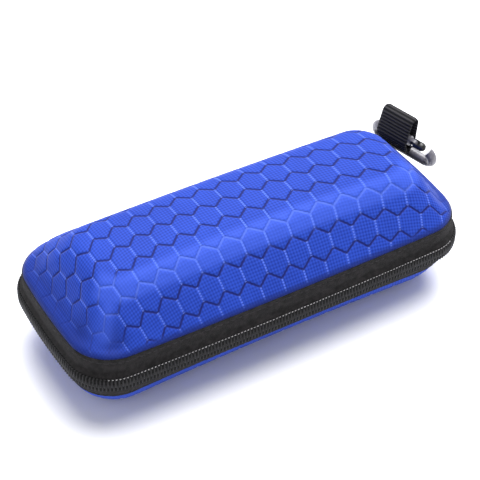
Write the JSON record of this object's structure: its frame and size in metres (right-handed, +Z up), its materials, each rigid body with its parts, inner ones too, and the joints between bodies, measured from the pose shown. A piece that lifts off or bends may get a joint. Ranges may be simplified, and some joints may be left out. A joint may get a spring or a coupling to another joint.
{
  "type": "zip-around glasses case",
  "caption": "Zip-around hard case for sunglasses, with a fabric back hinge, moulded foam shells, a webbing loop and a small snap hook on one end.",
  "frame": {"origin": "middle of the flat underside, on the surface the closed case rests on", "axes": "+Z up, +X along the case towards the webbing loop, +Y towards the back hinge, -Y the front"},
  "size_m": [0.1764, 0.0773, 0.0523],
  "materials": {
    "cover_fabric": "blue woven cover, heat-pressed with hexagons",
    "foam": "matte black moulded foam",
    "lining_fabric": "black brushed knit",
    "zip_tape": "black woven tape",
    "coil_nylon": "black nylon with a slight sheen",
    "stop_plastic": "black moulded plastic",
    "slider_metal": "black painted die-cast zinc",
    "webbing": "black ribbed webbing",
    "hook_metal": "smoke-grey satin paint",
    "gate_metal": "black gloss paint",
    "pin_steel": "satin steel"
  },
  "bodies": {
    "base": {"base_cover": "cover_fabric", "base_core": "foam", "base_lining": "lining_fabric", "lower_zip_tape": "zip_tape", "lower_coil": "coil_nylon", "held_zip_tape": "zip_tape", "held_coil": "coil_nylon", "held_end_stop": "stop_plastic", "lower_end_stops": "stop_plastic", "hinge_strip": "zip_tape"},
    "lid": {"lid_cover": "cover_fabric", "lid_core": "foam", "lid_lining": "lining_fabric", "upper_zip_tape": "zip_tape", "upper_coil": "coil_nylon", "upper_end_stop": "stop_plastic", "webbing_loop": "webbing"},
    "slider": {"zip_slider": "slider_metal"},
    "pull": {"slider_pull": "slider_metal"},
    "hook": {"hook_frame": "hook_metal", "gate_pin": "pin_steel"},
    "gate": {"hook_gate": "gate_metal"}
  },
  "joints": [
    {"name": "lid_hinge", "type": "hinge", "parent": "base", "child": "lid", "pos_m": [0, 0.0356, 0.022], "axis": [-1, 0, 0], "range_deg": [0, 110], "deforming": ["hinge_strip"]},
    {"name": "slider_run", "type": "slide", "parent": "base", "child": "slider", "axis": [-0.9998, 0.0187, 0], "range_m": [0, 0.005]},
    {"name": "pull_turn", "type": "hinge", "parent": "slider", "child": "pull", "pos_m": [0.05054, 0.0386, 0.022], "axis": [0, 0, 1], "range_deg": [-170, 0]},
    {"name": "hook_swing", "type": "hinge", "parent": "lid", "child": "hook", "pos_m": [0.08373, 0.01902, 0.0381], "axis": [0.2588, -0.9659, 0], "range_deg": [0, 80]},
    {"name": "gate_open", "type": "hinge", "parent": "hook", "child": "gate", "pos_m": [0.08619, 0.00984, 0.0381], "axis": [0.9133, 0.2447, 0.3256], "range_deg": [0, 38], "stiffness_Nm_per_rad": 0.003, "springref_deg": -57.3}
  ]
}
